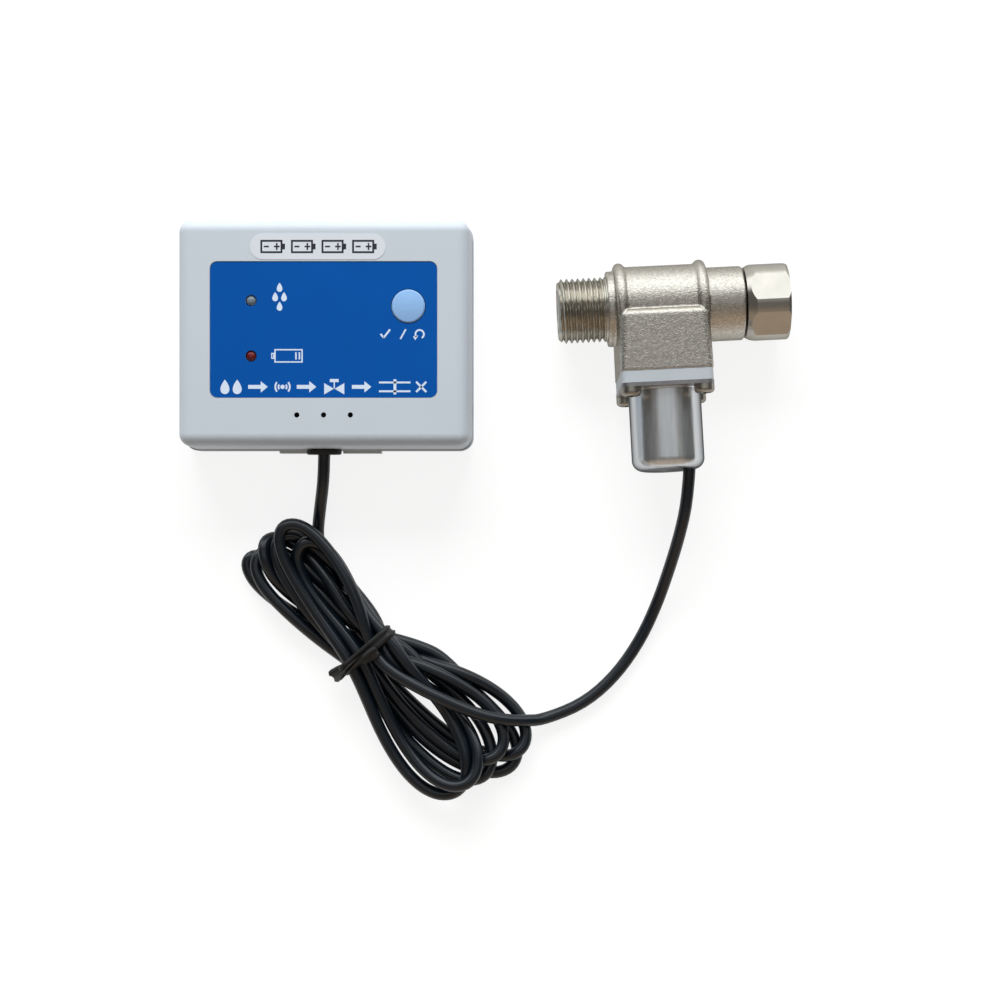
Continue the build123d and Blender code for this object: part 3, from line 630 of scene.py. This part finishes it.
def valve_sign(x, y, width, height):
    """The drawing sign for a valve: two triangles nose to nose, with a stem and a coil box."""
    low = y - 0.12 * height
    half = 0.36 * height
    return [
        [(x - width / 2, low - half), (x - 0.15, low), (x - width / 2, low + half)],
        [(x + width / 2, low - half), (x + width / 2, low + half), (x + 0.15, low)],
        bar(x - 0.2, low + 0.1, x + 0.2, y + 0.3 * height),
        bar(x - 0.22 * width, y + 0.3 * height, x + 0.22 * width, y + height / 2),
    ]


def printed(name, shapes, height, slot, paint):
    """Flat shapes, raised a little from the surface at that height."""
    work = bmesh.new()
    for shape in shapes:
        work.faces.new([work.verts.new((x * MM, y * MM, height * MM)) for x, y in shape])
    bmesh.ops.recalc_face_normals(work, faces=work.faces[:])
    raised = bmesh.ops.extrude_face_region(work, geom=work.faces[:])["geom"]
    corners = [part for part in raised if isinstance(part, bmesh.types.BMVert)]
    bmesh.ops.translate(work, vec=(0, 0, PRINT_LIFT * MM), verts=corners)
    bmesh.ops.recalc_face_normals(work, faces=work.faces[:])
    mesh = bpy.data.meshes.new(name)
    work.to_mesh(mesh)
    work.free()
    new_piece(name, mesh, ROOT, slot, paint, smooth=False)


def panel_shapes():
    """Leak and low-cell signs by the lamps, tick and return by the button, and the sequence."""
    x, y = LEAK_SIGN
    drops = [drop(x + dx, y + dy, 2.9) for dx, dy in ((0, 3.1), (-1.4, 0.1), (1.4, 0.1), (0, -2.9))]
    low_cell = frame_of(-67.6, -6.2, -58.6, -1.9, 0.42)
    nub = frame_of(-68.6, -5.0, -67.6, -3.1, 0.35)
    bars = [bar(-61.0, -5.2, -60.5, -2.9), bar(-59.9, -5.2, -59.4, -2.9)]
    tick = [line(-33.9, 2.9, -32.9, 1.7, 0.6), line(-32.9, 1.7, -30.9, 4.3, 0.6)]
    slash = [line(-27.6, 1.3, -25.9, 4.4, 0.5)]
    again = [
        arc(-21.5, 2.8, 1.35, -60, 220, 0.55),
        [(-23.6, 2.1), (-21.9, 2.4), (-22.9, 0.9)],
    ]
    return drops + low_cell + nub + bars + tick + slash + again + sequence_shapes(*SEQUENCE_AT)


def sequence_shapes(x, y):
    """What the set does, told left to right: water, warning, valve, closed pipe."""
    shapes = [drop(x - 31.5, y, 4.6), drop(x - 27.6, y, 4.6), arrow(x - 21.0, y, 6.2, 3.6)]
    for side, spread in ((1.3, 34), (2.3, 40)):
        shapes.append(arc(x - 13.2, y, side, -spread, spread, 0.55))
        shapes.append(arc(x - 13.2, y, side, 180 - spread, 180 + spread, 0.55))
    shapes.append(arc(x - 13.2, y, 0.35, 0, 359, 0.7))
    shapes.append(arrow(x - 5.6, y, 6.2, 3.6))
    shapes += valve_sign(x + 3.2, y, 6.4, 5.0)
    shapes.append(arrow(x + 11.9, y, 6.2, 3.6))
    shapes += [bar(x + 17.4, y + 1.1, x + 27.4, y + 1.7), bar(x + 17.4, y - 1.7, x + 27.4, y - 1.1)]
    shapes += [bar(x + 22.0, y - 2.4, x + 22.9, y + 2.4)]
    for slope in (-1.6, 1.6):
        shapes.append(line(x + 29.2, y - slope, x + 32.4, y + slope, 0.65))
    return shapes


def label_shapes():
    """Four cells in a row, plus and minus, as on any battery door."""
    shapes = []
    for step in range(CELL_COUNT):
        x, y = CELLS_AT[0] + CELL_STEP * step, CELLS_AT[1]
        shapes += frame_of(x - 3.7, y - 2.1, x + 3.3, y + 2.1, 0.6)
        shapes.append(bar(x + 3.3, y - 0.9, x + 4.1, y + 0.9))
        shapes.append(bar(x + 0.6, y - 0.25, x + 2.4, y + 0.25))
        shapes.append(bar(x + 1.25, y + 0.25, x + 1.75, y + 1.1))
        shapes.append(bar(x + 1.25, y - 1.1, x + 1.75, y - 0.25))
        shapes.append(bar(x - 2.6, y - 0.25, x - 1.0, y + 0.25))
    return shapes


# Twist tie: a ribbon with a wire ridge near each edge, round the hank and twisted to one side
RIBBON_HALF = [(0.0, 0.26), (0.55, 0.35), (1.1, 0.85), (1.8, 0.35), (2.1, 0.0)]
RIBBON = [(-x, z) for x, z in RIBBON_HALF[:0:-1]] + RIBBON_HALF
TAIL = [(2.6, 2.6, 1.3), (1.2, -2.4, 1.1), (-0.4, -7.2, -1.2), (-1.6, -11.0, -4.4), (-2.4, -14.2, -7.8)]
RIBBON_BACK = [(2.1, -0.02), (-2.1, -0.02)]
TAIL_TURNS, TAIL_SCALE, TAIL_SWELL = 0.55, 0.9, 0.25  # the twisted ends swell towards their tips
TAIL_APART = 0.35
TIE_CLEAR, TIE_REACH, TIE_SLANT, TIE_LOWEST = 0.12, 2.2, 0.12, 0.02


def waist_outline(route):
    """The smallest loop round the cord where the tie holds it, as (v, z) in millimetres."""
    c, s = math.cos(HANK_ANGLE), math.sin(HANK_ANGLE)
    dense = resampled(route, 0.5)
    dx, dy = dense[:, 0] - HANK_CENTRE[0], dense[:, 1] - HANK_CENTRE[1]
    u, v, z = dx * c + dy * s, -dx * s + dy * c, dense[:, 2]
    near = np.abs(u) < TIE_REACH
    reach = CORD_D / MM / 2 + TIE_CLEAR
    loop = []
    for angle in np.linspace(0, 2 * math.pi, 90, endpoint=False):
        c, s = math.cos(angle), math.sin(angle)
        best = int(np.argmax(v[near] * c + z[near] * s))
        loop.append((v[near][best] + reach * c, z[near][best] + reach * s))
    return resampled([(a, max(b, 0.1), 0) for a, b in loop + loop[:1]], 0.7)[:-1, :2]


def ribbon_faces(work, rows, closed):
    """Joins rows of corner points into a skin."""
    count = len(rows)
    last = count if closed else count - 1
    for index in range(last):
        before, after = rows[index], rows[(index + 1) % count]
        for step in range(len(before)):
            following = (step + 1) % len(before)
            work.faces.new((before[step], before[following], after[following], after[step]))
    if not closed:
        work.faces.new(rows[0])
        work.faces.new(rows[-1][::-1])


def make_tie(route):
    """The ribbon round the hank's waist, and its two ends twisted about each other."""
    outline = waist_outline(route)
    work = bmesh.new()
    section = RIBBON + RIBBON_BACK
    rows = []
    for index in range(len(outline)):
        ahead = outline[(index + 1) % len(outline)] - outline[index - 1]
        out = np.array((ahead[1], -ahead[0])) / np.linalg.norm(ahead)
        row = []
        for across, up in section:
            v, z = outline[index] + out * up
            place = in_hank(across + TIE_SLANT * v, v, max(z, TIE_LOWEST))
            row.append(work.verts.new(Vector(place) * MM))
        rows.append(row)
    ribbon_faces(work, rows, True)
    top = float(outline[:, 1].max())
    spine = resampled([in_hank(u, v, top + rise) for u, v, rise in TAIL], 0.6)
    for start in (0.0, math.pi):
        rows = []
        for index, place in enumerate(spine):
            ahead = Vector(spine[min(index + 1, len(spine) - 1)] - spine[max(index - 1, 0)]).normalized()
            side = ahead.cross(Vector((0, 0, 1))).normalized()
            over = side.cross(ahead)
            share = index / len(spine)
            turn = start + 2 * math.pi * TAIL_TURNS * share
            wide = side * math.cos(turn) + over * math.sin(turn)
            thick = over * math.cos(turn) - side * math.sin(turn)
            scale = TAIL_SCALE + TAIL_SWELL * share
            row = []
            for across, up in section:
                corner = Vector(place) + (wide * across + thick * (TAIL_APART + up)) * scale
                row.append(work.verts.new(corner * MM))
            rows.append(row)
        ribbon_faces(work, rows, False)
    bmesh.ops.recalc_face_normals(work, faces=work.faces[:])
    mesh = bpy.data.meshes.new("tie_ribbon")
    work.to_mesh(mesh)
    work.free()
    tie = new_piece("tie_ribbon", mesh, ROOT, "tie_plastic")
    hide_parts("twist_tie")


def make_stage():
    mesh = bpy.data.meshes.new("floor")
    low, high = -FLOOR_HALF, FLOOR_HALF
    corners = [(low, low, 0), (high, low, 0), (high, high, 0), (low, high, 0)]
    mesh.from_pydata(corners, [], [(0, 1, 2, 3)])
    floor = bpy.data.objects.new("floor", mesh)
    bpy.context.scene.collection.objects.link(floor)
    paint = bpy.data.materials.new("floor_white")
    paint.use_nodes = True
    shader = paint.node_tree.nodes["Principled BSDF"]
    shader.inputs["Base Color"].default_value = FLOOR_GREY
    shader.inputs["Roughness"].default_value = 0.9
    shader.inputs["Specular IOR Level"].default_value = 0.1
    shader.inputs["Emission Color"].default_value = (1, 1, 1, 1)
    rays = paint.node_tree.nodes.new("ShaderNodeLightPath")
    glow = paint.node_tree.nodes.new("ShaderNodeMix")
    glow.inputs["A"].default_value = FLOOR_GLOW
    glow.inputs["B"].default_value = FLOOR_GLOW_MIRRORED
    paint.node_tree.links.new(rays.outputs["Is Glossy Ray"], glow.inputs["Factor"])
    paint.node_tree.links.new(glow.outputs["Result"], shader.inputs["Emission Strength"])
    mesh.materials.append(paint)


def make_camera():
    lens = bpy.data.cameras.new("camera")
    lens.lens = LENS_MM
    lens.sensor_width = SENSOR_MM
    lens.clip_start = 10 * MM
    camera = bpy.data.objects.new("camera", lens)
    camera.location = (*VIEW_CENTRE, CAMERA_HEIGHT)
    bpy.context.scene.collection.objects.link(camera)
    bpy.context.scene.camera = camera


def area_light(name, place, size, power):
    """A soft box that lights surfaces but isn't mirrored in them: the studio's own glow does that."""
    lamp = bpy.data.lights.new(name, "AREA")
    lamp.shape = "RECTANGLE"
    lamp.size, lamp.size_y = size
    lamp.energy = power
    light = bpy.data.objects.new(name, lamp)
    light.location = place
    light.rotation_euler = (-Vector(place)).to_track_quat("-Z", "Y").to_euler()
    light.visible_glossy = False
    bpy.context.scene.collection.objects.link(light)


# A Mix node's colour sockets, by number, because it has several of the same name
MIX_COLOURS, MIX_RESULT = (6, 7), 2


def make_studio():
    """Surroundings: a dim room, a panel overhead, a window on +Y and a warm glow on -Y."""
    world = bpy.data.worlds.new("studio")
    world.use_nodes = True
    nodes, links = world.node_tree.nodes, world.node_tree.links
    place = nodes.new("ShaderNodeTexCoord")
    split = nodes.new("ShaderNodeSeparateXYZ")
    links.new(place.outputs["Generated"], split.inputs["Vector"])

    def ramp(axis, edges):
        """From nought to one between two values of one part of the direction."""
        step = nodes.new("ShaderNodeMapRange")
        step.interpolation_type = "SMOOTHSTEP"
        step.inputs["From Min"].default_value, step.inputs["From Max"].default_value = edges
        links.new(split.outputs[axis], step.inputs["Value"])
        return step.outputs["Result"]

    def times(first, second):
        node = nodes.new("ShaderNodeMath")
        node.operation = "MULTIPLY"
        links.new(first, node.inputs[0])
        links.new(second, node.inputs[1])
        return node.outputs["Value"]

    def flag(start, end):
        """One at the middle of the room and falling off towards both sides, as black cards do."""
        return times(ramp("X", (-end, -start)), ramp("X", (end, start)))

    overhead_y = times(ramp("Y", OVERHEAD_FAR_Y), ramp("Y", OVERHEAD_NEAR_Y))
    overhead = times(times(ramp("Z", OVERHEAD_Z), overhead_y), flag(*OVERHEAD_X))
    glow = None
    for share, colour in (
        (flag(*ROOM_X), ROOM_GLOW),
        (overhead, OVERHEAD_GLOW),
        (times(ramp("Y", WINDOW_Y), ramp("Z", WINDOW_Z)), WINDOW_GLOW),
        (ramp("Y", BACK_Y), BACK_GLOW),
    ):
        mix = nodes.new("ShaderNodeMix")
        mix.data_type = "RGBA"
        mix.blend_type = "ADD"
        links.new(share, mix.inputs["Factor"])
        so_far, added = mix.inputs[MIX_COLOURS[0]], mix.inputs[MIX_COLOURS[1]]
        if glow is None:
            so_far.default_value = (*FAR_GLOW, 1)
        else:
            links.new(glow, so_far)
        added.default_value = (*colour, 1)
        glow = mix.outputs[MIX_RESULT]
    links.new(glow, nodes["Background"].inputs["Color"])
    bpy.context.scene.world = world


draw_round(FINISHES["can_metal"])
dress_nodes()
cord, route = make_cord()
make_tie(route)
make_casting()
make_thread()
make_diaphragm()
make_spring()
printed("panel_pictograms", panel_shapes(), PANEL_TOP, "panel_film", "panel_print")
printed("label_pictograms", label_shapes(), LABEL_TOP, "label_film", "label_print")
make_stage()
make_camera()
make_studio()
area_light("key", KEY_AT, KEY_SIZE, KEY_POWER)
area_light("fill", FILL_AT, FILL_SIZE, FILL_POWER)
bpy.context.scene.view_settings.view_transform = "Standard"
